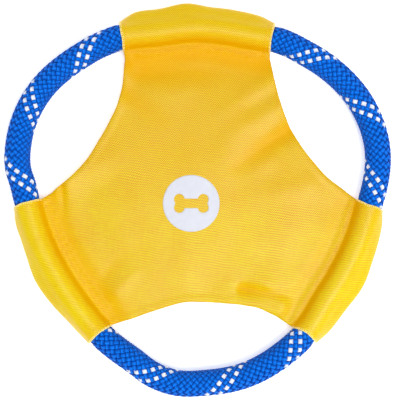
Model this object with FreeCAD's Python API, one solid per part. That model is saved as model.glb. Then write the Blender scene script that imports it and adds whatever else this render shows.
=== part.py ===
import FreeCAD, Part
import os
from math import atan2, cos, degrees, radians, sin, sqrt
from FreeCAD import Vector

# A soft flying ring. One length of braided rope is bent round until its ends meet, and a
# two-ply cloth centre with three lobes holds it: each lobe ends in a sewn sleeve that the
# rope runs through. Lengths are millimetres and angles are degrees. The frame has +Z up,
# +Y towards the back sleeve, and its origin on the ground under the middle of the ring.
# While the pieces are made, the hub (0, 0) is the point that the sleeves are set out from.

# Rope: a braided sheath round a bundle of plain core strands.
ROPE_RADIUS = 7.2
SHEATH_WALL = 1.9
CORE_STRAND_RADIUS = 1.7
CORE_STRAND_SPACING = 3.47
OUTER_CORE_STRANDS = 6
ROPE_END_GAP = 0.4

# Splice tape: it wraps the joint of the two rope ends, hidden inside the right sleeve.
TAPE_CLEARANCE = 0.05
TAPE_THICKNESS = 0.2
TAPE_HALF_ANGLE = 5.0
SPLICE_SLEEVE = "right"

# Rope path: an arc of one large radius in each sleeve and a rounder bow from sleeve to
# sleeve. A sleeve has a bearing from the hub, the reach of its rope from the hub along that
# bearing, and the angles of its two mouths round its own bend, counted from its bearing.
SLEEVE_BEND = 170.0
SLEEVES = {
    "back": {"bearing": 89.5, "reach": 92.0, "mouths": (-13.6, 14.2)},
    "left": {"bearing": 211.5, "reach": 88.0, "mouths": (-16.0, 12.0)},
    "right": {"bearing": 329.5, "reach": 90.0, "mouths": (-11.8, 15.6)},
}
# Each bow is named for the side it faces and listed with the sleeves before and after it.
BOWS = {
    "left": {"radius": 63.5, "between": ("back", "left")},
    "front": {"radius": 68.0, "between": ("left", "right")},
    "right": {"radius": 68.5, "between": ("right", "back")},
}

# Cloth centre: two plies with a small gap where the turned seam allowance lies.
CLOTH = 0.5
PLY_GAP = 0.6
SLEEVE_CLEARANCE = 0.3
SLEEVE_HALF_FLAT = 0.6
MOUTH_CORNER_OUT = 9.4
MOUTH_CORNER_IN = 8.9
SEAM_BULGE = 1.2
# The peak of a lobe's outer seam: its angle round the sleeve's bend and its distance out
# from the rope's centre line.
SEAM_PEAKS = {"back": (2.1, 15.9), "left": (-2.5, 11.2), "right": (1.5, 13.2)}
# The hollow edges between lobes: the bearing of the closest point to the hub, its distance
# and the radius of the hollow.
HOLLOWS = {
    "left": {"bearing": 148.5, "nearest": 62.8, "radius": 103.0},
    "front": {"bearing": 271.4, "nearest": 56.4, "radius": 114.0},
    "right": {"bearing": 31.3, "nearest": 63.8, "radius": 104.0},
}
HOLLOW_HALF_SPAN = 22.0

# Sewing threads.
THREAD_RADIUS = 0.2
THREAD_CLEARANCE = 0.02
CHANNEL_STITCH_OFFSET = 9.5
CHANNEL_STITCH_END = 0.6
HEM_DEPTH = 2.7
HEM_STITCH_WIDTH = 0.5
SEAM_INSET = 0.5
SEAM_END = 1.0
GROUND_CLEARANCE = 0.3

# Printed badge in the middle of the upper ply, with a bone-shaped window.
BADGE_CENTRE = Vector(-3.4, -2.4, 0)
BADGE_RADIUS = 15.6
BADGE_THICKNESS = 0.12
BONE_HALF_LENGTH = 6.6
BONE_HALF_WAIST = 2.0
BONE_KNOB_RADIUS = 2.9
BONE_KNOB_OFFSET = 2.3

# Worked-out heights and radii.
TUBE_RADIUS = ROPE_RADIUS + SLEEVE_CLEARANCE
MID_HEIGHT = TUBE_RADIUS + CLOTH
PLY_BASE = MID_HEIGHT + PLY_GAP / 2
PLY_TOP = PLY_BASE + CLOTH
UP = Vector(0, 0, 1)
BIG = 400.0


def polar(centre, bearing, radius):
    """The point at a radius from a centre, along a bearing."""
    angle = radians(bearing)
    return centre + Vector(radius * cos(angle), radius * sin(angle), 0)


def bearing_of(vector):
    """The bearing of a vector seen from above."""
    return degrees(atan2(vector.y, vector.x))


def bend_centre(sleeve):
    """The centre that a sleeve's part of the rope bends round, beyond the hub."""
    spec = SLEEVES[sleeve]
    return polar(Vector(0, 0, 0), spec["bearing"], spec["reach"] - SLEEVE_BEND)


def bow_centre(bow):
    """The centre of the bow that runs smoothly into the bends of both sleeves beside it."""
    before, after = (bend_centre(name) for name in BOWS[bow]["between"])
    chord = after - before
    outward = Vector(-chord.y, chord.x, 0) / chord.Length
    reach = SLEEVE_BEND - BOWS[bow]["radius"]
    return (before + after) / 2 + outward * sqrt(reach**2 - (chord.Length / 2) ** 2)


def sleeve_ends(sleeve):
    """The bearings round a sleeve's bend at which the bows before and after it take over."""
    before = next(name for name in BOWS if BOWS[name]["between"][1] == sleeve)
    after = next(name for name in BOWS if BOWS[name]["between"][0] == sleeve)
    return [bearing_of(bow_centre(name) - bend_centre(sleeve)) for name in (before, after)]


def rope_path():
    """The centre line's arcs as (centre, radius, start, sweep), from one rope end to the other."""
    splice_at = SLEEVES[SPLICE_SLEEVE]["bearing"]
    half_gap = degrees(ROPE_END_GAP / 2 / SLEEVE_BEND)
    arcs = []
    for bow in ("right", "left", "front"):
        before, after = BOWS[bow]["between"]
        sleeve_start = sleeve_ends(before)[0]
        if before == SPLICE_SLEEVE:
            sleeve_start = splice_at + half_gap
        arcs.append((bend_centre(before), SLEEVE_BEND, sleeve_start, sleeve_ends(before)[1]))
        bow_start, bow_end = sleeve_ends(before)[1], sleeve_ends(after)[0]
        arcs.append((bow_centre(bow), BOWS[bow]["radius"], bow_start, bow_end))
    last = (bend_centre(SPLICE_SLEEVE), SLEEVE_BEND, sleeve_ends(SPLICE_SLEEVE)[0], splice_at - half_gap)
    arcs.append(last)
    return [(centre, radius, start, (end - start) % 360) for centre, radius, start, end in arcs]


def swept(section, centre, start, sweep):
    """A section drawn in the XZ plane, turned about the upright line through a centre."""
    placed = section.copy()
    placed.rotate(Vector(0, 0, 0), UP, start)
    placed.translate(centre)
    return placed.revolve(centre, UP, sweep)


def disc_section(path_radius, radius, out=0.0, up=0.0):
    """A round section at a path's radius, moved outwards and upwards from its centre line."""
    middle = Vector(path_radius + out, 0, MID_HEIGHT + up)
    return Part.Face(Part.Wire(Part.makeCircle(radius, middle, Vector(0, 1, 0))))


def ring_section(path_radius, outer, inner):
    """The section of a round tube at a path's radius."""
    return disc_section(path_radius, outer).cut(disc_section(path_radius, inner)).Faces[0]


def arc_edge(first, middle, last):
    """The edge of a circle's arc through three points."""
    return Part.Arc(first, middle, last).toShape()


def stadium_section(radius):
    """The section of a sleeve: a round tube spread a little sideways, so its floor is flat."""
    left = SLEEVE_BEND - SLEEVE_HALF_FLAT
    right = SLEEVE_BEND + SLEEVE_HALF_FLAT
    low, high = MID_HEIGHT - radius, MID_HEIGHT + radius
    corners = [Vector(x, 0, z) for x, z in ((left, low), (right, low), (right, high), (left, high))]
    edges = [
        Part.makeLine(corners[0], corners[1]),
        arc_edge(corners[1], Vector(right + radius, 0, MID_HEIGHT), corners[2]),
        Part.makeLine(corners[2], corners[3]),
        arc_edge(corners[3], Vector(left - radius, 0, MID_HEIGHT), corners[0]),
    ]
    return Part.Face(Part.Wire(edges))


def joined(solids):
    """Solids that meet face to face, as one clean solid."""
    return solids[0].multiFuse(solids[1:]).removeSplitter().Solids[0]


def along_rope(section_at):
    """A solid that follows the whole rope; section_at gives its section at a path's radius."""
    pieces = [
        swept(section_at(radius), centre, start, sweep)
        for centre, radius, start, sweep in rope_path()
    ]
    return joined(pieces)


def rope_sheath():
    """The braided outer of the rope, as a plain tube."""
    return along_rope(lambda r: ring_section(r, ROPE_RADIUS, ROPE_RADIUS - SHEATH_WALL))


def core_strand(index):
    """One strand of the core: number 0 in the middle and the others in a circle round it."""
    out = up = 0.0
    if index:
        angle = radians(360 / OUTER_CORE_STRANDS * index)
        out = CORE_STRAND_SPACING * cos(angle)
        up = CORE_STRAND_SPACING * sin(angle)
    return along_rope(lambda r: disc_section(r, CORE_STRAND_RADIUS, out, up))


def splice_tape():
    """The tape over the joint of the rope's two ends."""
    inner = ROPE_RADIUS + TAPE_CLEARANCE
    section = ring_section(SLEEVE_BEND, inner + TAPE_THICKNESS, inner)
    start = SLEEVES[SPLICE_SLEEVE]["bearing"] - TAPE_HALF_ANGLE
    return swept(section, bend_centre(SPLICE_SLEEVE), start, 2 * TAPE_HALF_ANGLE)


def mouth_bearings(sleeve):
    """The bearings of a sleeve's two mouths round its bend."""
    spec = SLEEVES[sleeve]
    return [spec["bearing"] + angle for angle in spec["mouths"]]


def sleeve_tube(sleeve, radius):
    """A solid bar that fills a sleeve's section out to a radius, from mouth to mouth."""
    start, end = mouth_bearings(sleeve)
    return swept(stadium_section(radius), bend_centre(sleeve), start, end - start)


def mouth_corners(sleeve, offset):
    """The corners of a sleeve's two mouths at an offset outwards from the rope's centre line."""
    centre = bend_centre(sleeve)
    return [polar(centre, bearing, SLEEVE_BEND + offset) for bearing in mouth_bearings(sleeve)]


def seam_arcs(sleeve):
    """The two arcs of a lobe's outer seam, from its first mouth over the peak to its second."""
    centre = bend_centre(sleeve)
    start, end = mouth_bearings(sleeve)
    first, last = mouth_corners(sleeve, MOUTH_CORNER_OUT)
    peak_angle, peak_offset = SEAM_PEAKS[sleeve]
    peak_bearing = SLEEVES[sleeve]["bearing"] + peak_angle
    middle_radius = SLEEVE_BEND + (MOUTH_CORNER_OUT + peak_offset) / 2 + SEAM_BULGE
    peak = polar(centre, peak_bearing, SLEEVE_BEND + peak_offset)
    rise_middle = polar(centre, (start + peak_bearing) / 2, middle_radius)
    fall_middle = polar(centre, (peak_bearing + end) / 2, middle_radius)
    return [arc_edge(first, rise_middle, peak), arc_edge(peak, fall_middle, last)]


def hollow_centre(hollow):
    """The centre of a hollow edge's arc, outside the cloth."""
    spec = HOLLOWS[hollow]
    return polar(Vector(0, 0, 0), spec["bearing"], spec["nearest"] + spec["radius"])


def hollow_point(hollow, along):
    """A point of a hollow edge; along runs from -1 at its first end to 1 at its second."""
    spec = HOLLOWS[hollow]
    bearing = spec["bearing"] + 180 - along * HOLLOW_HALF_SPAN
    return polar(hollow_centre(hollow), bearing, spec["radius"])


def cloth_outline():
    """The cloth centre seen from above: three lobes with hollow edges between them."""
    edges = []
    for sleeve in SLEEVES:
        first_in, last_in = mouth_corners(sleeve, -MOUTH_CORNER_IN)
        first_out, last_out = mouth_corners(sleeve, MOUTH_CORNER_OUT)
        hollow = next(name for name in BOWS if BOWS[name]["between"][0] == sleeve)
        next_in = mouth_corners(BOWS[hollow]["between"][1], -MOUTH_CORNER_IN)[0]
        hollow_start, hollow_middle, hollow_end = (hollow_point(hollow, t) for t in (-1, 0, 1))
        edges.append(Part.makeLine(first_in, first_out))
        edges += seam_arcs(sleeve)
        edges.append(Part.makeLine(last_out, last_in))
        edges.append(Part.makeLine(last_in, hollow_start))
        edges.append(arc_edge(hollow_start, hollow_middle, hollow_end))
        edges.append(Part.makeLine(hollow_end, next_in))
    return Part.Face(Part.Wire(edges))


def slab(low, high):
    """A wide block between two heights."""
    return Part.makeBox(BIG, BIG, high - low, Vector(-BIG / 2, -BIG / 2, low))


def top_panel():
    """The upper ply: a flat web, with half of each sleeve arched over the rope."""
    web = cloth_outline()
    web.translate(Vector(0, 0, PLY_BASE))
    panel = web.extrude(Vector(0, 0, CLOTH))
    for sleeve in SLEEVES:
        shell = sleeve_tube(sleeve, TUBE_RADIUS + CLOTH).common(slab(PLY_BASE, BIG))
        panel = panel.fuse(shell)
    for sleeve in SLEEVES:
        panel = panel.cut(sleeve_tube(sleeve, TUBE_RADIUS))
    return panel.removeSplitter().Solids[0]


def bottom_panel():
    """The lower ply, the same as the upper one turned over."""
    return top_panel().mirror(Vector(0, 0, MID_HEIGHT), UP)


def thread_arc(centre, radius, start, sweep, height):
    """A length of thread laid round part of a circle at a height."""
    up = height - MID_HEIGHT
    return swept(disc_section(radius, THREAD_RADIUS, 0.0, up), centre, start, sweep)


def channel_stitch(sleeve):
    """The row of sewing that closes a sleeve, with a thread on each face of the cloth."""
    start, end = mouth_bearings(sleeve)
    start += CHANNEL_STITCH_END
    sweep = end - CHANNEL_STITCH_END - start
    lift = PLY_TOP + THREAD_CLEARANCE + THREAD_RADIUS - MID_HEIGHT
    radius = SLEEVE_BEND - CHANNEL_STITCH_OFFSET
    heights = (MID_HEIGHT + lift, MID_HEIGHT - lift)
    centre = bend_centre(sleeve)
    return Part.makeCompound([thread_arc(centre, radius, start, sweep, z) for z in heights])


def hem_stitch(sleeve, which):
    """The sewing round one mouth of a sleeve, with a thread over each ply."""
    inner = TUBE_RADIUS + CLOTH + THREAD_CLEARANCE
    outer = inner + THREAD_RADIUS
    section = stadium_section(outer).cut(stadium_section(inner)).Faces[0]
    depth = degrees(HEM_DEPTH / SLEEVE_BEND)
    width = degrees(HEM_STITCH_WIDTH / SLEEVE_BEND)
    bearing = mouth_bearings(sleeve)[which]
    start = bearing + depth if which == 0 else bearing - depth - width
    band = swept(section, bend_centre(sleeve), start, width)
    lift = CLOTH + PLY_GAP / 2 + THREAD_CLEARANCE
    upper = band.common(slab(MID_HEIGHT + lift, BIG)).Solids
    lower = band.common(slab(GROUND_CLEARANCE, MID_HEIGHT - lift)).Solids
    return Part.makeCompound(upper + lower)


def hollow_seam(hollow):
    """The thread inside a hollow edge, between the two plies."""
    spec = HOLLOWS[hollow]
    radius = spec["radius"] + SEAM_INSET
    trim = degrees(SEAM_END / radius)
    start = spec["bearing"] + 180 - HOLLOW_HALF_SPAN + trim
    sweep = 2 * (HOLLOW_HALF_SPAN - trim)
    return thread_arc(hollow_centre(hollow), radius, start, sweep, MID_HEIGHT)


def outer_seam(sleeve):
    """The thread inside a lobe's outer edge, one length on each side of the peak."""
    threads = []
    for arc in seam_arcs(sleeve):
        centre, radius = arc.Curve.Center, arc.Curve.Radius - SEAM_INSET
        trim = degrees(SEAM_END / radius)
        first = bearing_of(arc.valueAt(arc.FirstParameter) - centre)
        sweep = (bearing_of(arc.valueAt(arc.LastParameter) - centre) - first) % 360
        threads.append(thread_arc(centre, radius, first + trim, sweep - 2 * trim, MID_HEIGHT))
    return Part.makeCompound(threads)


def badge_print():
    """The printed disc on the upper ply, with a bone-shaped window in it."""
    disc = Part.Face(Part.Wire(Part.makeCircle(BADGE_RADIUS)))
    corner = Vector(-BONE_HALF_LENGTH, -BONE_HALF_WAIST, 0)
    bone = Part.makePlane(2 * BONE_HALF_LENGTH, 2 * BONE_HALF_WAIST, corner)
    for side in (-1, 1):
        for end in (-1, 1):
            middle = Vector(end * BONE_HALF_LENGTH, side * BONE_KNOB_OFFSET, 0)
            knob = Part.Face(Part.Wire(Part.makeCircle(BONE_KNOB_RADIUS, middle)))
            bone = bone.fuse(knob)
    face = disc.cut(bone).Faces[0]
    face.translate(BADGE_CENTRE + Vector(0, 0, PLY_TOP + THREAD_CLEARANCE))
    return face.extrude(Vector(0, 0, BADGE_THICKNESS))


def make_nodes():
    """Every sub-part by name, set out from the hub."""
    nodes = {
        "top_panel": top_panel(),
        "bottom_panel": bottom_panel(),
        "badge_print": badge_print(),
        "rope_sheath": rope_sheath(),
        "splice_tape": splice_tape(),
    }
    for index in range(OUTER_CORE_STRANDS + 1):
        nodes[f"core_strand_{index + 1}"] = core_strand(index)
    for sleeve in SLEEVES:
        nodes[f"channel_stitch_{sleeve}"] = channel_stitch(sleeve)
        nodes[f"outer_seam_{sleeve}"] = outer_seam(sleeve)
        nodes[f"hem_stitch_{sleeve}_1"] = hem_stitch(sleeve, 0)
        nodes[f"hem_stitch_{sleeve}_2"] = hem_stitch(sleeve, 1)
    for hollow in HOLLOWS:
        nodes[f"hollow_seam_{hollow}"] = hollow_seam(hollow)
    return nodes


def main():
    """Make the pieces, put the origin under the middle of the ring and write the files."""
    os.makedirs("parts", exist_ok=True)
    nodes = make_nodes()
    box = Part.makeCompound(list(nodes.values())).optimalBoundingBox()
    middle = Vector(box.Center.x, box.Center.y, box.ZMin)
    print(f"size {box.XLength:.2f} x {box.YLength:.2f} x {box.ZLength:.2f}, hub at {-middle}")
    rope_length = sum(radius * radians(sweep) for _, radius, _, sweep in rope_path())
    print(f"rope length {rope_length:.1f}")
    for name, shape in nodes.items():
        shape.translate(-middle)
        good = shape.isValid() and all(solid.isClosed() for solid in shape.Solids)
        print(f"{name}: {len(shape.Solids)} solid(s), {shape.Volume:.1f} mm3, valid {good}")
        shape.exportStep(f"parts/{name}.step")


main()
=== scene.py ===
import math

import bpy
import numpy as np
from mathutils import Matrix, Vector, noise
from mathutils.geometry import delaunay_2d_cdt


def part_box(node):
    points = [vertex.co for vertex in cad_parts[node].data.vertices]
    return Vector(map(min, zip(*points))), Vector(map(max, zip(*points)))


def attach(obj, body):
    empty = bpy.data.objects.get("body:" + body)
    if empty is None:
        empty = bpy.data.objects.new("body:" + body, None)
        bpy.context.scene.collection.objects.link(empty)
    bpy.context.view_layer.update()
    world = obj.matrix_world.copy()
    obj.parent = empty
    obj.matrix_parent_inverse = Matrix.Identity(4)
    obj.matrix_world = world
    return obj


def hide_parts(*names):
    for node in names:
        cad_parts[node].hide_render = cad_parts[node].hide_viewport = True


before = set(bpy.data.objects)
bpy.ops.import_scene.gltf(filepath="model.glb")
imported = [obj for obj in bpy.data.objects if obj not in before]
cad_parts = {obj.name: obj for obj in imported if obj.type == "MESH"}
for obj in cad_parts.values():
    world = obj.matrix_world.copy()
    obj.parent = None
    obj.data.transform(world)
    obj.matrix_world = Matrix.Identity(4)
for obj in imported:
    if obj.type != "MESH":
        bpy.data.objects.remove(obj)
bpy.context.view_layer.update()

# A soft flying ring: a braided rope bent into a ring, held in three sleeves of a two-ply
# cloth centre. Lengths are millimetres from the hub until a mesh is made, and angles are
# degrees; MM turns them into the frame's metres.
MM = 0.001

# Rope path, as in the CAD: an arc of one large radius in each sleeve, and bows between.
SLEEVE_BEND = 170.0
# Each sleeve's shade is the strength of the painted shade in a band of web just inside it.
SLEEVES = {
    "back": {"bearing": 89.5, "reach": 92.0, "mouths": (-13.6, 14.2), "channel": 10.2, "wall": 7.9,
             "shade": 0.54},
    "left": {"bearing": 211.5, "reach": 88.0, "mouths": (-16.0, 12.0), "channel": 10.6, "wall": 8.3,
             "shade": 0.38},
    "right": {"bearing": 329.5, "reach": 90.0, "mouths": (-11.8, 15.6), "channel": 9.8, "wall": 8.3,
              "shade": 0.1},
}
BOWS = {
    "right": {"radius": 68.5, "between": ("right", "back")},
    "left": {"radius": 63.5, "between": ("back", "left")},
    "front": {"radius": 68.0, "between": ("left", "right")},
}
SPLICE_SLEEVE = "right"
ROPE_RADIUS = 7.2
BADGE_CENTRE = np.array([-3.4, -2.4])

# The CAD badge is centred on its own centre, so its box gives the hub in the row frame.
badge_low, badge_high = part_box("badge_print")
HUB = np.array([(badge_low[i] + badge_high[i]) / 2 / MM for i in (0, 1)]) - BADGE_CENTRE
sheath_low, sheath_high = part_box("rope_sheath")
MID_HEIGHT = (sheath_low.z + sheath_high.z) / 2 / MM

# Braid: two families of strands wind opposite ways, and each goes over one and under one.
STRANDS = 12
STRAND_WIDTH = 2.4
STRAND_THICKNESS = 1.0
STRAND_SWING = 0.52
STRAND_STEP = 0.5
# A strand's section: two yarns side by side, as shares of its half width and half thickness.
STRAND_SECTION = ((-0.97, -0.1), (-0.86, 0.62), (-0.5, 1.0), (-0.16, 0.8), (0.0, 0.5),
                  (0.16, 0.8), (0.5, 1.0), (0.86, 0.62), (0.97, -0.1), (0.6, -0.85),
                  (-0.6, -0.85))
BRAID_LEAD = 42.0
TRACERS = (0, 2)
SPLICE_GAP = 0.2
BRAID_DEPTH = STRAND_THICKNESS + 2 * STRAND_SWING
# A dark tube inside the braid is painted shade for the gaps between strands: how far out it sits, as a
# share of the braid's depth, and its sides.
GAP_SHADE_SHARE = 0.14
GAP_SHADE_SIDES = 24
TAPE_REACH = 14.8
TAPE_THICKNESS = 0.2
TAPE_LIFT = 0.04
TAPE_RINGS = 20
TAPE_SIDES = 48
# Each sleeve flattens the braid against the core, which leaves room for the rope to creep: by
# how much, and how far inside a mouth's rim this starts and ends.
SQUEEZE = 0.8
SQUEEZE_RUN = (-3.5, 4.0)
# Where the white pair crosses the top of the rope: distances from each bow's first mouth,
# and the whole turns that the braid has made there.
TRACER_PASSES = {
    "right": ((10.3, 0), (53, 1), (95.2, 2)),
    "left": ((21.7, 5), (63.3, 6), (104.9, 7)),
    "front": ((35.5, 10), (76.8, 11), (120, 12)),
}
# The soft rope strays a little from its arcs: distance along it, and how far outward.
SWAY = ((0, 0), (30, 0), (46, -0.5), (80, 0.9), (103, 0.4), (130, -0.6), (146, -0.4),
        (161, 1.2), (178, 0.6), (205, 1.8), (230, 0.9), (249, 2), (260, 1.1), (272, -0.4), (282, -0.8),
        (298, -0.3), (333, 0.6), (348, 0.7), (357, -0.5), (366, -0.5), (380, 0), (430, 0),
        (455, 0), (475, -1), (488, 0.8), (500, 1.4), (518, 0.1), (537, 0.4), (562, 1.1), (574, 1.9),
        (582, 1.8), (600, 0), (613, 0))

# Cloth: its outline from above, and the shape of each ply over and under the mid-plane.
CLOTH = 0.5
SLEEVE_HULL = 7.35
MOUTH_IN = 8.3
WALL_VALLEY = 0.8
# Strengths of the painted shade: at the foot of each sleeve's wall, and per unit of depth in a fold's
# valley.
WALL_PAINTED_SHADE = 0.6
VALLEY_PAINTED_SHADE = 0.24
WEB_OUT = 0.56
EDGE_ROUND = 1.1
EDGE_RISE = 0.36
EDGE_BAND = 5.0
EDGE_RINGS = (0.16, 0.38, 0.68)
PLY_PART = 0.02
HEM_RISE = 0.14
HEM_END = (2.6, 3.3)
SLEEVE_CREASE = 0.012
PUCKER_PITCH = 4.3
# Each mouth's rim, not quite square to the rope: distances out from it, and angles round the
# sleeve's bend.
RIMS = {
    "back": (((-8.3, -13.9), (-5.9, -13.62), (-0.9, -13.35), (8.6, -13.45)),
             ((-8.3, 14.6), (-2.7, 14.15), (1.5, 14.1), (8.3, 14))),
    "left": (((-8.3, -16.15), (-0.6, -16.18), (1.9, -16.2), (7.8, -15.85)),
             ((-8.3, 12.35), (-4.3, 11.8), (0.9, 11.6), (8.2, 11.8))),
    "right": (((-8.3, -12.1), (-5.3, -11.4), (-1.4, -10.95), (3, -10.95), (8, -11.2)),
              ((-8.3, 15.9), (-2.5, 15.4), (2.9, 15.35), (7.6, 15))),
}
# The outer seam of each lobe: angles round the sleeve's bend, and distances out from the rope.
SEAMS = {
    "back": ((-13.45, 8.6), (-11, 11.1), (-6, 12.2), (-1.5, 12.2), (2.1, 14.1),
             (6.5, 12.9), (11.3, 12), (14, 8.3)),
    "left": ((-15.85, 7.8), (-13, 9.2), (-10.5, 9.2), (-7.5, 9.8), (-2.5, 11.7), (2, 10.9),
             (7, 9), (11.8, 8.2)),
    "right": ((-11.2, 8), (-8, 10.2), (-3, 11.9), (1.5, 13), (6.5, 11.3),
              (11, 10), (12.9, 9.3), (15, 7.6)),
}
# The hollow edges between lobes: bearings and distances from the hub.
HOLLOWS = {
    "right": ((2.5, 82.3), (8, 74.1), (18, 66.9), (30, 63.9), (42, 65.9),
              (52, 72.3), (58, 79.2), (62.5, 86.5)),
    "left": ((117.5, 86.5), (122, 77.4), (129, 69.3), (138, 64.9), (150, 63.3),
             (162, 65.5), (171, 72), (177.5, 80.3)),
    "front": ((239.5, 77.6), (246, 69), (253, 62.6), (262, 57.6), (272, 56.8),
              (284, 59.2), (294, 64.2), (300, 70), (303.7, 77.3)),
}
# Soft folds of the web: from, to, height and half-width.
FOLDS = (
    ((50, 38), (22, 18), -2.2, 5),
    ((43, 66), (12, 48), 1.5, 5.5),
    ((46, 52), (18, 34), 1.5, 5.5),
    ((25, -49.5), (54, -54), -1.8, 3),
    ((-74, 8), (-44, 26), 1.5, 6.5),
    ((-74.6, 7), (-73.6, -9), -1.7, 1.9),
    ((-30, 72), (34, 73), -2.2, 9),
    ((-54, -60), (-34, -40), 1.1, 3.5),
    ((-58, -50), (-40, -30), -1, 4),
    ((48, -60), (30, -38), 1.2, 4.5),
    ((-42, 62), (-20, 44), -1.2, 5),
    ((62, 8), (30, 0), 0.9, 7),
)
# Waves of the web: height, width and noise seed.
WAVES = ((0.9, 34.0, 3.7), (0.35, 13.0, 8.1))
# Distances from a channel: where the web dips and comes back, and where its waves fade in.
DIP_RUN = (0.0, 3.6, 11.0)
WAVE_RUN = (0.5, 13.0)
# How far a sleeve pulls at the web: degrees past its mouths, and in from the rope.
SLEEVE_NEAR = (12, 60)
# Pitches of mesh points along and between rows; the sleeves' are by angle.
WEB_PITCH = (1.2, 1.05)
SLEEVE_PITCH = (0.38, 0.55)
PRINT_PITCH = (0.7, 0.6)

# The weave, which shows more at the far side, and the cloth's screen colours; the last two are its
# painted highlight and painted shade.
WEAVE_TILT = -9.0
WARP_PITCH = 0.57
WEFT_PITCH = 0.65
CRISP_PLACE = (-20.0, 60.0)
CRISP_SHARE = (0.04, 2.0)
YARN_SHADOW = (199, 110, 0)
YARN_CROWN = (218, 216, 0)
CLOTH_PAINTED_HIGHLIGHT = (222, 226, 0)
CLOTH_PAINTED_SHADE = (217, 152, 0)

# Sewing: thread radii, pitches along the cloth, and depths in from an edge.
THREAD = 0.17
STITCH_PITCH = 2.9
STITCH_DIVE = 0.34
LOOP_THREAD = 0.2
LOOP_PITCH = 1.1
LOOP_SKEW = 0.12
LOOP_DEPTH = 0.85
HEM_DEPTH = 2.9
HEM_PITCH = 2.4
SEAM_THREAD = 0.13
SEAM_DEPTH = 0.9
# The step that the cloth's slope is taken over.
PROBE = 0.15

BADGE_RADIUS = 15.6
BONE_REACH = 6.6
KNOB_RADIUS = 2.9
KNOB_OFFSET = 2.3
KNOB_ARCS = ((-174, 37.5), (-37.5, 174), (6, 217.5), (142.5, 354))
PRINT_LIFT = 0.05
PRINT_THICKNESS = 0.04

# The floor's own glow, near and far, and the distances in metres where it changes.
GLOW = (0.37, 1.1)
GLOW_REACH = (0.15, 1.6)
# The surround's light at the horizon and above, and the rise where it stops changing.
SKY = (1.8, 0.2)
SKY_FROM = 0.35
FRAME_WIDTH = 220.0
FRAME_MIDDLE = (1.4, -0.55)
LENS = 100.0
SENSOR = 36.0


def unit(bearing):
    """The directions of bearings, seen from above."""
    turn = np.radians(bearing)
    return np.stack([np.cos(turn), np.sin(turn)], axis=-1)


def normalised(vectors):
    """Vectors in rows, each made one long."""
    return vectors / np.linalg.norm(vectors, axis=-1, keepdims=True)


def bearing_of(vector):
    """The bearing of a direction."""
    return math.degrees(math.atan2(vector[1], vector[0]))


def bend_centre(sleeve):
    """The centre that a sleeve's part of the rope bends round."""
    spec = SLEEVES[sleeve]
    return (spec["reach"] - SLEEVE_BEND) * unit(spec["bearing"])


def bow_centre(bow):
    """The centre of a bow that runs smoothly into the bends beside it."""
    before, after = (bend_centre(name) for name in BOWS[bow]["between"])
    chord = after - before
    length = math.hypot(*chord)
    outward = np.array([-chord[1], chord[0]]) / length
    reach = SLEEVE_BEND - BOWS[bow]["radius"]
    return (before + after) / 2 + outward * math.sqrt(reach**2 - (length / 2) ** 2)


def rope_arcs():
    """The rope's centre line as arcs (centre, radius, start, sweep) from splice to splice."""
    splice = SLEEVES[SPLICE_SLEEVE]["bearing"]
    arcs = []
    start = splice
    for bow, spec in BOWS.items():
        middle = bow_centre(bow)
        before, after = (bend_centre(sleeve) for sleeve in spec["between"])
        leave, arrive = bearing_of(middle - before), bearing_of(middle - after)
        arcs.append((before, SLEEVE_BEND, start, (leave - start) % 360))
        arcs.append((middle, spec["radius"], leave, (arrive - leave) % 360))
        start = arrive
    arcs.append((bend_centre(SPLICE_SLEEVE), SLEEVE_BEND, start, (splice - start) % 360))
    return arcs


ARCS = rope_arcs()
ARC_STARTS = np.cumsum([0.0] + [radius * math.radians(sweep) for _, radius, _, sweep in ARCS])
ROPE_LENGTH = ARC_STARTS[-1]


def smooth_through(knots, x):
    """A smooth curve through knots (x, y)."""
    xs, ys = np.array(knots, float).T
    slopes = np.gradient(ys, xs)
    x = np.clip(x, xs[0], xs[-1])
    i = np.clip(np.searchsorted(xs, x, side="right") - 1, 0, len(xs) - 2)
    width = xs[i + 1] - xs[i]
    t = (x - xs[i]) / width
    slope = t * (1 - t) * width * ((1 - t) * slopes[i] - t * slopes[i + 1])
    return ys[i] + (ys[i + 1] - ys[i]) * t * t * (3 - 2 * t) + slope


def rope_at(distances):
    """Points of the rope's line, and directions out from it, at distances along it."""
    which = np.clip(np.searchsorted(ARC_STARTS, distances, side="right") - 1, 0, len(ARCS) - 1)
    centres, radii, starts, _ = (np.array(column)[which] for column in zip(*ARCS))
    outward = unit(starts + np.degrees((distances - ARC_STARTS[which]) / radii))
    reach = radii + smooth_through(SWAY, distances)
    return centres + reach[:, None] * outward, outward


def distance_at(sleeve, angles):
    """How far along the rope the angles round a sleeve's bend are."""
    index = {"right": 0, "back": 2, "left": 4}[sleeve]
    _, radius, start, _ = ARCS[index]
    turns = (SLEEVES[sleeve]["bearing"] + np.asarray(angles) - start + 180) % 360 - 180
    return ARC_STARTS[index] + radius * np.radians(turns)


def sway_at(sleeve, angles):
    """How far outward the rope strays at angles round a sleeve's bend."""
    return smooth_through(SWAY, distance_at(sleeve, angles) % ROPE_LENGTH)


def braid_depth(distances):
    """The braid's thickness, less in the sleeves, as a share of BRAID_DEPTH."""
    depth = np.full(distances.shape, SQUEEZE_RUN[0])
    for sleeve, spec in SLEEVES.items():
        first, last = distance_at(sleeve, spec["mouths"])
        away = (distances - (first + last) / 2 + ROPE_LENGTH / 2) % ROPE_LENGTH
        depth = np.maximum(depth, (last - first) / 2 - np.abs(away - ROPE_LENGTH / 2))
    return 1 - SQUEEZE / BRAID_DEPTH * step(*SQUEEZE_RUN, depth)


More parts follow.
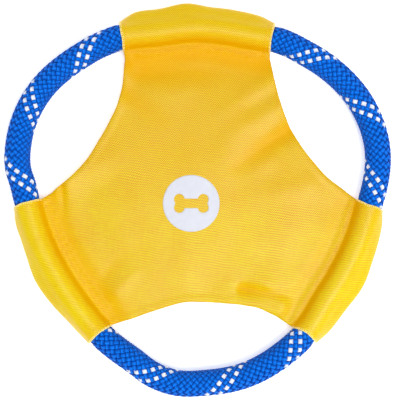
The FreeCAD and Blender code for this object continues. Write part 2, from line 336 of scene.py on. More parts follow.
def braid_turn(distances):
    """The angle that the braid has wound to, in radians, at distances along the rope."""
    knots = []
    for bow, passes in TRACER_PASSES.items():
        sleeve = BOWS[bow]["between"][0]
        first = distance_at(sleeve, SLEEVES[sleeve]["mouths"][1])
        knots += [(first + distance, turns) for distance, turns in passes]
    knots.insert(0, (knots[0][0] - 2 * BRAID_LEAD, knots[0][1] - 2))
    knots.append((knots[-1][0] + 2 * BRAID_LEAD, knots[-1][1] + 2))
    turns = np.interp(distances, *zip(*knots))
    return 2 * math.pi * (turns + 0.25 - sum(TRACERS) / 2 / STRANDS)


def new_mesh(name, vertices, faces, attributes=None):
    """An object from points in millimetres, with point attributes for shading."""
    points = np.array(vertices, float)
    points[:, :2] += HUB
    mesh = bpy.data.meshes.new(name)
    mesh.from_pydata((points * MM).tolist(), [], faces)
    mesh.validate()
    for key, values in (attributes or {}).items():
        layer = mesh.attributes.new(key, "FLOAT_VECTOR", "POINT")
        layer.data.foreach_set("vector", np.array(values, np.float32).ravel())
    mesh.polygons.foreach_set("use_smooth", [True] * len(mesh.polygons))
    piece = bpy.data.objects.new(name, mesh)
    bpy.context.scene.collection.objects.link(piece)
    return piece


def finish_piece(piece, body, material, nodes=()):
    """Give a piece its material and body, and hide the CAD nodes it stands for."""
    piece.data.materials.append(material)
    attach(piece, body)
    if nodes:
        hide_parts(*nodes)
    return piece


def tube_faces(rings, sides, offset=0):
    """The faces of a tube of rings, ending with its two flat caps."""
    corner = offset + np.arange(rings * sides).reshape(rings, sides)
    beside = np.roll(corner, -1, axis=1)
    quads = np.stack([corner[:-1], beside[:-1], beside[1:], corner[1:]], axis=-1)
    return quads.reshape(-1, 4).tolist() + [corner[0, ::-1].tolist(), corner[-1].tolist()]


def strand(family, index):
    """One strand of the braid: its rings of points, their places along and across it, and
    how near they are to the crown of a crossing and to the rope's top."""
    distances = np.arange(SPLICE_GAP, ROPE_LENGTH - SPLICE_GAP, STRAND_STEP)
    centre, outward = rope_at(distances)
    turn = braid_turn(distances)
    around = family * turn + 2 * math.pi * index / STRANDS
    swing = np.cos(STRANDS * turn)
    swing = family * swing * (1.5 - 0.5 * swing**2)
    flattened = braid_depth(distances)
    radius = ROPE_RADIUS - BRAID_DEPTH + flattened * (BRAID_DEPTH / 2 + STRAND_SWING * swing)
    radial = np.column_stack([outward * np.cos(around)[:, None], np.sin(around)])
    line = np.column_stack([centre, np.full(len(centre), MID_HEIGHT)]) + radial * radius[:, None]
    tangent = normalised(np.gradient(line, axis=0))
    across = normalised(np.cross(tangent, radial))
    upward = np.cross(across, tangent)
    section = np.array(STRAND_SECTION)[::-1]
    sideways = STRAND_WIDTH / 2 * section[:, 0]
    lift = flattened[:, None] * STRAND_THICKNESS / 2 * section[:, 1]
    rings = line[:, None] + across[:, None] * sideways[:, None] + upward[:, None] * lift[:, :, None]
    fibre = np.zeros(rings.shape)
    steps = np.linalg.norm(np.diff(line, axis=0, prepend=line[:1]), axis=1)
    fibre[:, :, 0] = np.cumsum(steps)[:, None]
    fibre[:, :, 1] = sideways
    fibre[:, :, 2] = 10.0 * index + 200.0 * (family > 0)
    crown = np.zeros(rings.shape)
    crown[:, :, 0] = swing[:, None]
    crown[:, :, 1] = np.sin(around)[:, None]
    return rings, fibre, crown


def tubes(pieces):
    """The points and faces of several tubes, each given as its rings of points."""
    faces = []
    offset = 0
    for rings in pieces:
        faces += tube_faces(*rings.shape[:2], offset)
        offset += rings.shape[0] * rings.shape[1]
    return np.concatenate([rings.reshape(-1, 3) for rings in pieces]), faces


def braid_piece(name, members, material, nodes=()):
    """Several strands as one piece."""
    rings, fibres, crowns = zip(*(strand(family, index) for family, index in members))
    attributes = {"fibre": np.concatenate(fibres), "crown": np.concatenate(crowns)}
    piece = new_mesh(name, *tubes(rings), attributes)
    return finish_piece(piece, "rope", material, nodes)


def round_tube(distances, radius, sides):
    """Points of a tube round the rope's line, with a radius at each distance along it."""
    centre, outward = rope_at(distances % ROPE_LENGTH)
    ring = radius[:, None, None] * unit(360 / sides * np.arange(sides))
    flat = centre[:, None] + outward[:, None] * ring[:, :, :1]
    return np.concatenate([flat, MID_HEIGHT + ring[:, :, 1:]], axis=-1).reshape(-1, 3)


def gap_shade_piece(material):
    """A dark tube at the inner face of the braid: painted shade, seen only as the dark gaps between
    strands.
    """
    distances = np.arange(SPLICE_GAP, ROPE_LENGTH - SPLICE_GAP, 2.0)
    radius = ROPE_RADIUS - BRAID_DEPTH * (1 - GAP_SHADE_SHARE * braid_depth(distances))
    points = round_tube(distances, radius, GAP_SHADE_SIDES)
    piece = new_mesh("gap_shade_tube", points, tube_faces(len(distances), GAP_SHADE_SIDES))
    return finish_piece(piece, "rope", material)


def tape_piece(material):
    """The tape over the joint of the rope's two ends, tight on the flattened braid."""
    distances = np.linspace(-TAPE_REACH, TAPE_REACH, TAPE_RINGS)
    radius = ROPE_RADIUS + TAPE_LIFT - BRAID_DEPTH * (1 - braid_depth(distances))
    open_tube = tube_faces(TAPE_RINGS, TAPE_SIDES)[:-2]
    piece = new_mesh("splice_wrap", round_tube(distances, radius, TAPE_SIDES), open_tube)
    thicken(piece, TAPE_THICKNESS, 1.0)
    return finish_piece(piece, "rope", material, ("splice_tape",))


def step(low, high, x):
    """Smoothly from 0 at low to 1 at high."""
    t = np.clip((x - low) / (high - low), 0, 1)
    return t * t * (3 - 2 * t)


def round_sleeve(sleeve, points):
    """Points as angles round a sleeve's bend and distances out from the rope."""
    x, y = (points - bend_centre(sleeve)).T
    angles = (np.degrees(np.arctan2(y, x)) - SLEEVES[sleeve]["bearing"] + 180) % 360 - 180
    return angles, np.hypot(x, y) - (SLEEVE_BEND + sway_at(sleeve, angles))


def sleeve_point(sleeve, angle, offset):
    """Points at angles round a sleeve's bend and distances out from the rope."""
    reach = SLEEVE_BEND + sway_at(sleeve, angle) + offset
    return bend_centre(sleeve) + reach[..., None] * unit(SLEEVES[sleeve]["bearing"] + angle)


def rim_angle(sleeve, which, offsets):
    """The angles of a mouth's rim at distances out from the rope."""
    return smooth_through(RIMS[sleeve][which], np.asarray(offsets, float))


def mouth_point(sleeve, which, offset, depth=0.0):
    """Points at distances out from the rope and a depth in from a mouth's rim."""
    inward = math.degrees(depth / SLEEVE_BEND) * (1 - 2 * which)
    return sleeve_point(sleeve, rim_angle(sleeve, which, offset) + inward, offset)


def rim_points(sleeve, which, start, end):
    """Points along a mouth's rim between two distances out, without its ends."""
    return mouth_point(sleeve, which, np.linspace(start, end, 21)[1:-1])


def seam_points(sleeve, trim, count):
    """Points along a lobe's outer seam, which starts and ends a trim angle short."""
    knots = SEAMS[sleeve]
    angles = np.linspace(knots[0][0] + trim, knots[-1][0] - trim, count)
    return sleeve_point(sleeve, angles, smooth_through(knots, angles))


def hollow_points(hollow, count):
    """Points evenly along a hollow edge, from its first end to its second."""
    knots = HOLLOWS[hollow]
    bearings = np.linspace(knots[0][0], knots[-1][0], 400)
    edge = smooth_through(knots, bearings)[:, None] * unit(bearings)
    run = np.cumsum(np.hypot(*np.diff(edge, axis=0, prepend=edge[:1]).T))
    evenly = np.linspace(0, run[-1], count)
    return np.stack([np.interp(evenly, run, edge[:, k]) for k in (0, 1)], axis=1)


def line_points(start, end):
    """Points on a straight line, its first end left out."""
    return [start + (end - start) * k / 8 for k in range(1, 9)]


def cloth_outline():
    """The cloth's outline as points, and for each whether it is on a mouth's open rim."""
    points, rim = [], []

    def add(new, open_edge):
        points.extend(new)
        rim.extend([open_edge] * len(new))

    for bow, spec in BOWS.items():
        sleeve, following = spec["between"]
        seam = SEAMS[sleeve]
        add(rim_points(sleeve, 0, -MOUTH_IN, seam[0][1]), True)
        add(seam_points(sleeve, 0.0, 110), False)
        add(rim_points(sleeve, 1, seam[-1][1], -MOUTH_IN), True)
        corner = mouth_point(sleeve, 1, -MOUTH_IN)
        next_corner = mouth_point(following, 0, -MOUTH_IN)
        hollow = hollow_points(bow, 90)
        add([corner] + line_points(corner, hollow[0]), False)
        add(hollow[1:], False)
        add(line_points(hollow[-1], next_corner), False)
    return np.array(points), np.array(rim)


OUTLINE, ON_RIM = cloth_outline()
CLOSED_EDGE = OUTLINE[~ON_RIM]


def nearest(points, targets):
    """The distance from each point to the nearest of some targets."""
    result = np.empty(len(points))
    for k in range(0, len(points), 2000):
        gap = points[k:k + 2000, None, :] - targets[None, :, :]
        result[k:k + 2000] = np.sqrt((gap**2).sum(-1).min(1))
    return result


def inside(points, outline):
    """Whether each point is inside an outline."""
    x, y = points[:, 0], points[:, 1]
    result = np.zeros(len(points), bool)
    for (x0, y0), (x1, y1) in zip(outline, np.roll(outline, -1, axis=0)):
        crosses = (y0 > y) != (y1 > y)
        if y0 != y1:
            result ^= crosses & (x < (x1 - x0) * (y - y0) / (y1 - y0) + x0)
    return result


def hull(offset, anchor):
    """The height of tight cloth from the rope's top down to where it is held."""
    touch = SLEEVE_HULL**2 / anchor
    arc = np.sqrt(np.maximum(SLEEVE_HULL**2 - offset**2, 0))
    top = np.sqrt(SLEEVE_HULL**2 - touch**2)
    slope = top / (anchor - touch)
    return np.where(offset < touch, arc, np.maximum(anchor - offset, 0) * slope)


def hull_length(offset, anchor):
    """The length of tight cloth from the rope's top to a distance out."""
    touch = SLEEVE_HULL**2 / anchor
    arc = SLEEVE_HULL * np.arcsin(np.clip(offset, 0, touch) / SLEEVE_HULL)
    stretch = np.sqrt(anchor**2 - SLEEVE_HULL**2) / (anchor - touch)
    return arc + np.maximum(offset - touch, 0) * stretch


def wander(points, scale, seed):
    """Smooth noise over the cloth, from about -1 to 1."""
    return np.array([noise.noise(Vector((x, y, seed))) for x, y in (points / scale).tolist()])


def fold_share(points, fold):
    """How much of a fold's height each point has; a fold fades towards its end."""
    start, end = np.array(fold[0]), np.array(fold[1])
    along = (points - start) @ (end - start) / ((end - start) @ (end - start))
    foot = start + np.clip(along, 0, 1)[:, None] * (end - start)
    away = np.hypot(*(points - foot).T)
    return (1 - 0.75 * np.clip(along, 0, 1)) * np.exp(-((away / fold[3]) ** 2))


def web_wave(points):
    """How far the web as a whole rises from the mid-plane: its soft folds and its waves."""
    wave = sum(height * wander(points, width, seed) for height, width, seed in WAVES)
    for fold in FOLDS:
        wave += fold[2] * fold_share(points, fold)
    return wave


def painted_cloth_light(points):
    """Where painted shade darkens the cloth, by the foot of each sleeve's wall, in fold valleys and in
    a band of web inside each sleeve, and where a painted highlight brightens it, over the rope; both
    from 0 to 1, with a zero to make a vector."""
    deep = np.zeros(len(points))
    bright = np.zeros(len(points))
    # Painted shade in the valleys of folds that dip.
    for fold in FOLDS:
        if fold[2] < 0:
            deep = np.maximum(deep, -VALLEY_PAINTED_SHADE * fold[2] * fold_share(points, fold))
    for sleeve, spec in SLEEVES.items():
        angles, offsets = round_sleeve(sleeve, points)
        near = np.exp(-((past_mouths(angles, *spec["mouths"]) / 6.0) ** 2))
        # Painted shade at the foot of the wall and in a band of web inside the sleeve.
        wall = WALL_PAINTED_SHADE * np.exp(-(((offsets + spec["wall"] - 1.0) / 1.8) ** 2))
        band = spec["shade"] * np.exp(-(((offsets + 14.0) / 8.0) ** 2))
        deep = np.maximum(deep, near * np.maximum(wall, band))
        # Painted highlight over the rope's top, between the mouths.
        bright = np.maximum(bright, near * step(-6.0, -1.0, offsets))
    return np.stack([deep, bright, np.zeros(len(points))], axis=1)


def past_mouths(angles, first, last):
    """How far angles round a sleeve's bend are past its mouths; 0 between them."""
    return np.radians(np.maximum(np.maximum(first - angles, angles - last), 0)) * SLEEVE_BEND


def channel_at(sleeve, angles):
    """How far in from the rope's line a sleeve's row of stitches runs."""
    first, last = SLEEVES[sleeve]["mouths"]
    inside_mouth = np.minimum(angles - first, last - angles)
    deepest = SLEEVES[sleeve]["channel"]
    return MOUTH_IN + 0.1 + (deepest - MOUTH_IN - 0.1) * step(0.0, 3.5, inside_mouth)


def pattern_run(offsets, wall, seam):
    """The length of sleeve cloth from its wall's foot to a distance from the rope's line."""
    run = np.where(offsets < 0, -hull_length(-offsets, wall), hull_length(offsets, seam))
    return hull_length(wall, wall) + run


def sleeve_drape(sleeve, along, offsets, wall, seam, hem):
    """The height of the upper ply over the rope, a little uneven and thicker at its hems."""
    drape = np.where(offsets < 0, hull(-offsets, wall), hull(offsets, seam))
    place = np.stack([along, offsets], axis=1)
    drape = drape * (1 + SLEEVE_CREASE * wander(place, 9.0, 21.3 + SLEEVES[sleeve]["reach"]))
    return drape + HEM_RISE * (1 - step(*HEM_END, hem))


def channel_relief(points, along, to_channel):
    """How the web beside a channel rises in puckers, and dips at the stitches."""
    pucker = np.sin(2 * math.pi * along / PUCKER_PITCH + 2.0 * wander(points, 8.0, 5.5))
    rise = (0.14 + 0.1 * pucker) * np.exp(-((to_channel - 2.2) / 2.0) ** 2)
    return rise - 0.12 * np.exp(-((to_channel / 0.9) ** 2))


def cloth_surface(points):
    """Height of the upper ply's outer face over the mid-plane, the wave that both plies share,
    and how far the cloth's own flat pattern runs ahead of each point."""
    edge = nearest(points, CLOSED_EDGE)
    cap = np.sqrt(1 - (1 - np.clip(edge / EDGE_ROUND, 0, 1)) ** 2)
    height = (WEB_OUT + EDGE_RISE * (1 - step(2.0, EDGE_BAND, edge))) * cap
    wave = web_wave(points)
    pattern = np.zeros_like(points)
    for sleeve in SLEEVES:
        angles, offsets = round_sleeve(sleeve, points)
        first, last = (rim_angle(sleeve, which, offsets) for which in (0, 1))
        channel = channel_at(sleeve, angles)
        wall = np.minimum(channel, SLEEVES[sleeve]["wall"])
        seam = smooth_through(SEAMS[sleeve], angles)
        past, reach_in = SLEEVE_NEAR
        near = (angles > first - past) & (angles < last + past) & (offsets > -reach_in)
        beyond = past_mouths(angles, first, last)
        to_channel = np.hypot(np.maximum(-channel - offsets, 0), beyond)
        tunnel = near & (offsets > -channel) & (beyond < 1.0)
        hem = np.radians(np.minimum(np.abs(angles - first), np.abs(last - angles))) * SLEEVE_BEND
        along = np.radians(angles) * SLEEVE_BEND
        height += np.where(tunnel, sleeve_drape(sleeve, along, offsets, wall, seam, hem), 0.0)
        height += np.where(near & ~tunnel, channel_relief(points, along, to_channel), 0.0)
        dip = step(*DIP_RUN[:2], to_channel) * (1 - step(*DIP_RUN[1:], to_channel))
        wave = np.where(near, wave * step(*WAVE_RUN, to_channel) - WALL_VALLEY * dip, wave)
        wave = np.where(tunnel, 0.0, wave)
        outward = normalised(points - bend_centre(sleeve))
        over = np.maximum(offsets, -wall)
        extra = np.where(tunnel, pattern_run(over, wall, seam) - (over + wall), 0.0)
        pattern += outward * extra[:, None]
    return height, wave, points + pattern


def cloth_heights(points, side):
    """A ply's outer face over the floor, which flattens the lower ply, and its flat pattern."""
    height, wave, pattern = cloth_surface(points)
    return MID_HEIGHT + wave + side * np.minimum(height + PLY_PART, MID_HEIGHT - 0.02), pattern


def staggered(across, up, pitch):
    """A grid of points in rows between limits; every second row is half a pitch along."""
    xs, ys = np.arange(*across, pitch[0]), np.arange(*up, pitch[1])
    return np.array([(x + pitch[0] / 2 * (row % 2), y) for row, y in enumerate(ys) for x in xs])


def moved_in(edge, along, depth):
    """Points of an edge moved into the cloth, which is to the left along the edge."""
    return edge + normalised(np.stack([-along[:, 1], along[:, 0]], axis=1)) * depth


def cloth_grid():
    """Points inside the outline: rows along each sleeve, rings by the edge, and a web grid."""
    web = staggered((-100, 100), (-90, 110), WEB_PITCH)
    rows = []
    for sleeve, spec in SLEEVES.items():
        first, last = spec["mouths"][0] - 1.0, spec["mouths"][1] + 1.0
        deepest = spec["channel"] + 3.0
        grid = staggered((first, last), (-deepest, 17.0), SLEEVE_PITCH)
        rows.append(sleeve_point(sleeve, *grid.T))
        angles, offsets = round_sleeve(sleeve, web)
        among = (offsets > -deepest - 0.8) & (offsets < 40) & (angles > first) & (angles < last)
        web = web[~among]
    points = np.concatenate(rows + [web])
    points = points[inside(points, OUTLINE)]
    points = points[nearest(points, OUTLINE) > 1.0]
    rings = []
    along = np.roll(OUTLINE, -1, axis=0) - np.roll(OUTLINE, 1, axis=0)
    for depth in EDGE_RINGS:
        ring = moved_in(OUTLINE, along, depth)
        ring = ring[inside(ring, OUTLINE)]
        rings.append(ring[nearest(ring, OUTLINE) > 0.92 * depth])
    return np.concatenate([OUTLINE] + rings + [points])


def triangulated(points, loops):
    """The points and triangles of a sheet; its points start with edge loops of these lengths."""
    edges = []
    start = 0
    for count in loops:
        edges += [(start + k, start + (k + 1) % count) for k in range(count)]
        start += count
    result = delaunay_2d_cdt([Vector(p) for p in points.tolist()], edges, [], 1, 1e-4)
    return np.array([list(v) for v in result[0]]), [list(face) for face in result[2]]


def thicken(piece, thickness, offset):
    """Give a sheet its thickness: outward at offset 1, inward at -1 and both ways at 0."""
    thick = piece.modifiers.new("thickness", "SOLIDIFY")
    thick.thickness = thickness * MM
    thick.offset = offset


def ply_piece(name, side, material, node):
    """One ply of the cloth centre; side is 1 for the upper ply and -1 for the lower."""
    flat, faces = triangulated(cloth_grid(), [len(OUTLINE)])
    up, pattern = cloth_heights(flat, side)
    if side < 0:
        faces = [face[::-1] for face in faces]
    vertices = np.column_stack([flat, up])
    weave = np.column_stack([pattern, np.full(len(flat), float(side))])
    piece = new_mesh(name, vertices, faces, {"weave": weave, "painted_light": painted_cloth_light(flat)})
    thicken(piece, CLOTH, -1.0)
    return finish_piece(piece, "cloth", material, (node,))


def node_tree(name):
    """A new node material, its tree and its principled shader."""
    material = bpy.data.materials.new(name)
    material.use_nodes = True
    tree = material.node_tree
    shader = next(n for n in tree.nodes if n.type == "BSDF_PRINCIPLED")
    return material, tree, shader


def fill(tree, node, inputs):
    """Give a node's inputs their numbers, colours, outputs or shader values."""
    for key, value in inputs.items():
        if isinstance(value, Value):
            value = value.socket
        if isinstance(value, bpy.types.NodeSocket):
            tree.links.new(value, node.inputs[key])
        else:
            node.inputs[key].default_value = value


def added(tree, kind, inputs):
    """A new node of a kind, with its inputs filled."""
    node = tree.nodes.new("ShaderNode" + kind)
    fill(tree, node, inputs)
    return node


def maths(operation, *values):
    """A math node on shader values and numbers, as a shader value."""
    tree = next(value.tree for value in values if isinstance(value, Value))
    node = added(tree, "Math", dict(enumerate(values)))
    node.operation = operation
    return Value(tree, node.outputs[0])


class Value:
    """A number in a shader; plain arithmetic on it adds math nodes to its tree."""

    def __init__(self, tree, socket):
        self.tree = tree
        self.socket = socket

    def __add__(self, other):
        return maths("ADD", self, other)

    def __sub__(self, other):
        return maths("SUBTRACT", self, other)

    def __rsub__(self, other):
        return maths("SUBTRACT", other, self)

    def __mul__(self, other):
        return maths("MULTIPLY", self, other)

    __radd__ = __add__
    __rmul__ = __mul__


def linear(*colour):
    """A screen colour from 0 to 255 as linear light, with alpha."""
    shares = [c / 255 for c in colour]
    light = [c / 12.92 if c <= 0.04045 else ((c + 0.055) / 1.055) ** 2.4 for c in shares]
    return (*light, 1.0)


def mixed_colour(tree, factor, a, b):
    """The output of a colour mix by a factor; a and b are colours or outputs."""
    node = added(tree, "Mix", {})
    node.data_type = "RGBA"
    fill(tree, node, {"Factor": factor, 6: a, 7: b})
    return node.outputs[2]


def map_range(tree, value, source, target, kind="LINEAR"):
    """A value or output carried from one range to another."""
    node = added(tree, "MapRange", {"Value": value, "From Min": source[0], "From Max": source[1],
                                    "To Min": target[0], "To Max": target[1]})
    node.interpolation_type = kind
    return Value(tree, node.outputs[0])


def named_vector(tree, name):
    """The x, y and z of a point attribute."""
    attribute = added(tree, "Attribute", {})
    attribute.attribute_name = name
    split = added(tree, "SeparateXYZ", {0: attribute.outputs["Vector"]})
    return [Value(tree, socket) for socket in split.outputs]


def noise_at(x, y, z, scale, detail=2.0):
    """Noise from 0 to 1 at a place; y and z may be numbers."""
    place = added(x.tree, "CombineXYZ", {0: x, 1: y, 2: z})
    texture = added(x.tree, "TexNoise",
                    {"Vector": place.outputs[0], "Scale": scale, "Detail": detail})
    return Value(x.tree, texture.outputs["Fac"])


def bumped(tree, shader, height, distance, strength=1.0):
    """Feed a height, which distance scales to metres, into the shader's normal."""
    bump = added(tree, "Bump", {"Height": height, "Distance": distance, "Strength": strength})
    fill(tree, shader, {"Normal": bump.outputs[0]})


def weave_shares(u, v):
    """Three shares of plain weave: the dome of each yarn, which yarn is on top, and ribs."""
    checker = maths("SINE", u * (math.pi / WARP_PITCH)) * maths("SINE", v * (math.pi / WEFT_PITCH))
    dome = maths("POWER", maths("ABSOLUTE", checker), 0.5)
    rib = maths("COSINE", v * (math.pi / WEFT_PITCH))
    return dome, checker, rib


def weave_place(tree):
    """The weave's own coordinates, along the warp and the weft, and which ply it is."""
    x, y, side = named_vector(tree, "weave")
    tilt = math.radians(WEAVE_TILT)
    u = x * math.cos(tilt) + y * math.sin(tilt)
    v = y * math.cos(tilt) - x * math.sin(tilt)
    v = v + noise_at(u, v, side, 0.07) * 2.5
    u = u + noise_at(v, u, side, 0.05) * 2.0
    return u, v, side


def woven_colour(tree, shade, deep, bright):
    """The cloth's colour: from yarn shadow to yarn crown, with painted highlight over the rope and
    painted shade by walls and in valleys.
    """
    ramp = added(tree, "ValToRGB", {0: shade})
    for end, position, colour in ((0, 0.08, YARN_SHADOW), (1, 0.8, YARN_CROWN)):
        ramp.color_ramp.elements[end].position = position
        ramp.color_ramp.elements[end].color = linear(*colour)
    colour = mixed_colour(tree, bright * 0.14, ramp.outputs[0], linear(*CLOTH_PAINTED_HIGHLIGHT))
    return mixed_colour(tree, deep, colour, linear(*CLOTH_PAINTED_SHADE))


def woven_material():
    """Plain-woven yellow polyester, drawn over the cloth's own flat pattern, with painted shade, a
    painted highlight and a faint orange glow that is painted light.
    """
    material, tree, shader = node_tree("woven_yellow")
    u, v, side = weave_place(tree)
    dome, checker, rib = weave_shares(u, v)
    ribs = rib * noise_at(u, v, 4.0, 0.03)
    weft_yarn = noise_at(u * 0.12, v, side, 1.5)
    warp_yarn = noise_at(u, v * 0.12, side, 1.5)
    patch = noise_at(u, v, side, 0.045)
    crisp = map_range(tree, v, CRISP_PLACE, CRISP_SHARE)
    shade = dome * 0.34 + checker * crisp + ribs * 0.30
    shade = shade + weft_yarn * 0.22 + warp_yarn * 0.16 + patch * 0.20
    deep, bright, _ = named_vector(tree, "painted_light")
    flat = 1.0 - deep
    fill(tree, shader, {
        "Base Color": woven_colour(tree, shade, deep, bright),
        "Roughness": 0.37,
        # Less gloss where painted shade lies, and a faint orange glow, painted light that keeps shaded
        # walls and valleys orange.
        "Specular IOR Level": flat * flat * 0.35,
        "Emission Color": linear(255, 140, 0),
        "Emission Strength": 0.1,
    })
    bumped(tree, shader, dome * 0.6 + checker * 0.35, 0.045 * MM)
    return material


def strand_material(name, dark, light, roughness, painted_light_share):
    """Twisted yarn strands: filament lines along each strand, painted shade on each strand's flanks,
    in its middle groove and where it dives under, a painted highlight on the yarn crown at each
    crossing, and painted shade on the rope's sides; the last argument is the share of this painted
    light."""
    material, tree, shader = node_tree(name)
    along, across, which = named_vector(tree, "fibre")
    crossing, topside, _ = named_vector(tree, "crown")
    fine = noise_at(along * 0.35, across * 4.5, which, 1.5, 3.0)
    broad = noise_at(along, which, 0.0, 0.30)
    flank = maths("ABSOLUTE", across * (2 / STRAND_WIDTH))
    # Painted shade toward each strand's flanks and in the groove between its two yarns.
    painted_groove_shade = maths("MAXIMUM", 1.0 - flank * 5.0, 0.0)
    body = 1.0 - maths("POWER", flank, 2.2) - painted_groove_shade * 0.35
    narrow = maths("MAXIMUM", 1.0 - maths("ABSOLUTE", across - 0.4), 0.0)
    # Painted highlight on each crossing's crown; painted shade where the strand dives under and on the
    # rope's sides.
    glint = maths("MAXIMUM", crossing, 0.0) * narrow * (2.6 * painted_light_share)
    shade = body * (fine * 0.75 + broad * 0.85) * (glint + (1.0 - painted_light_share))
    shade = shade * (maths("ABSOLUTE", topside) * painted_light_share + (1.0 - painted_light_share))
    fill(tree, shader, {
        "Base Color": mixed_colour(tree, shade, linear(*dark), linear(*light)),
        "Roughness": roughness,
        "Specular IOR Level": 0.1,
    })
    bumped(tree, shader, fine, 0.2 * MM, 0.8)
    return material


def plain_material(name, colour, roughness, grain=0.06, scale=900.0):
    """A plain surface with a fine grain."""
    material, tree, shader = node_tree(name)
    position = added(tree, "NewGeometry", {})
    texture = added(tree, "TexNoise", {"Scale": scale, "Vector": position.outputs["Position"]})
    light = linear(*colour)
    dark = tuple(c * (1 - grain) for c in light[:3]) + (1.0,)
    fill(tree, shader, {"Base Color": mixed_colour(tree, texture.outputs["Fac"], dark, light),
                        "Roughness": roughness})
    bumped(tree, shader, texture.outputs["Fac"], 0.05 * MM, 0.5)
    return material


def surface_point(point, side, lift=0.0):
    """A point on a ply's outer face, lifted along its normal, and that normal."""
    z, _ = cloth_heights(point + PROBE * np.array([(0, 0), (1, 0), (0, 1)]), side)
    normal = normalised(np.append((z[0] - z[1:]) / PROBE, 1.0) * side)
    return np.append(point, z[0]) + normal * lift, normal


def bead(points, radius):
    """The rings of a thread along points above the floor, blunt-pointed at both ends."""
    points = np.array(points)
    points[:, 2] = np.maximum(points[:, 2], radius + 0.01)
    tangent = normalised(np.gradient(points, axis=0))
    first = np.empty_like(points)
    carried = np.cross(tangent[0], [0.3, -0.5, 0.8])
    for k, along in enumerate(tangent):
        carried = normalised(carried - (carried @ along) * along)
        first[k] = carried
    second = np.cross(tangent, first)
    t = np.linspace(0, 1, len(points))
    girth = radius * np.sqrt(np.clip(1 - (2 * t - 1) ** 8, 0.12, 1))
    ring = girth[:, None, None] * unit(60.0 * np.arange(6))
    return points[:, None] + first[:, None] * ring[:, :, :1] + second[:, None] * ring[:, :, 1:]


def thread_piece(name, runs, radius, material, nodes=()):
    """Threads of the cloth's sewing as one piece; each run is a row of points."""
    piece = new_mesh(name, *tubes([bead(run, radius) for run in runs]))
    return finish_piece(piece, "cloth", material, nodes)


def stitches(starts, ends, rises):
    """Stitches lying on both plies, each diving into the cloth at both ends."""
    return [[surface_point(start + (end - start) * t, side,
                           rise - STITCH_DIVE * abs(2 * t - 1) ** 3)[0]
             for t in np.linspace(0, 1, 7)]
            for side, rise in zip((1, -1), rises) for start, end in zip(starts, ends)]


def channel_stitches(sleeve, material):
    """The row of stitches that closes a sleeve, on both plies."""
    first, last = SLEEVES[sleeve]["mouths"]
    length = math.radians(last - first) * (SLEEVE_BEND - SLEEVES[sleeve]["channel"])
    angles = np.linspace(first + 0.1, last - 0.1, int(length / STITCH_PITCH) + 1)
    row = -channel_at(sleeve, angles) - 0.25
    gap = 0.08 * np.diff(angles)
    starts = sleeve_point(sleeve, angles[:-1] + gap, row[:-1])
    ends = sleeve_point(sleeve, angles[1:] - gap, row[1:])
    runs = stitches(starts, ends, (0.12, 0.12))
    return thread_piece(f"channel_stitches_{sleeve}", runs, THREAD, material,
                        (f"channel_stitch_{sleeve}",))


def arch_offsets(sleeve, which, pitch, trim):
    """Distances out from the rope round a mouth, spaced evenly along the cloth."""
    seam = SEAMS[sleeve][-which][1]
    offsets = np.linspace(-MOUTH_IN, seam, 400)
    lengths = pattern_run(offsets, np.full(400, MOUTH_IN + 0.1), np.full(400, seam))
    lengths = lengths - lengths[0]
    count = int(round((lengths[-1] - 2 * trim) / pitch))
    return np.interp(np.linspace(trim, lengths[-1] - trim, count + 1), lengths, offsets)


def hem_stitches(sleeve, which, material):
    """The row of stitches round a mouth, over both plies."""
    offsets = arch_offsets(sleeve, which, HEM_PITCH, 0.8)
    gap = 0.09 * np.diff(offsets)
    starts = mouth_point(sleeve, which, offsets[:-1] + gap, HEM_DEPTH)
    ends = mouth_point(sleeve, which, offsets[1:] - gap, HEM_DEPTH)
    runs = stitches(starts, ends, (0.08, -0.02))
    return thread_piece(f"hem_stitches_{sleeve}_{which + 1}", runs, THREAD, material,
                        (f"hem_stitch_{sleeve}_{which + 1}",))


def rim_loops(sleeve, which, material):
    """Overlocked thread round a mouth: loops from the outer face over the raw edge."""
    offsets = arch_offsets(sleeve, which, LOOP_PITCH, 0.6)
    runs = []
    for side, lift in ((1, 0.05), (-1, -0.06)):
        for k, offset in enumerate(offsets):
            inner = mouth_point(sleeve, which, offset + LOOP_SKEW * (-1) ** k, LOOP_DEPTH)
            over, _ = surface_point(inner, side, lift)
            edge, normal = surface_point(mouth_point(sleeve, which, offset, 0.02), side, lift)
            out = normalised(edge - over)
            runs.append([
                over - normal * 0.2, over, (over + edge) / 2 + normal * 0.04, edge,
                edge + out * 0.16 - normal * 0.2, edge + out * 0.1 - normal * 0.5,
            ])
        round_mouth = np.linspace(-MOUTH_IN + 0.2, offsets[-1], 60)
        runs.append([surface_point(point, side, -0.16)[0]
                     for point in mouth_point(sleeve, which, round_mouth, -0.12)])
    return thread_piece(f"rim_loops_{sleeve}_{which + 1}", runs, LOOP_THREAD, material)


def seam_thread(kind, place, edge, material):
    """The thread between the two plies, a little way in from a closed edge."""
    run = moved_in(edge, np.gradient(edge, axis=0), SEAM_DEPTH)
    points = np.column_stack([run, MID_HEIGHT + cloth_surface(run)[1]])
    return thread_piece(f"{kind}_thread_{place}", [points], SEAM_THREAD, material,
                        (f"{kind}_{place}",))


def bone_outline():
    """A plain bone shape: a straight shaft with two round knobs at each end."""
    knobs = [(sx * BONE_REACH, sy * KNOB_OFFSET) for sx, sy in
             ((1, -1), (1, 1), (-1, 1), (-1, -1))]
    return np.concatenate([np.array(centre) + KNOB_RADIUS * unit(np.linspace(*arc, 26))
                           for centre, arc in zip(knobs, KNOB_ARCS)])


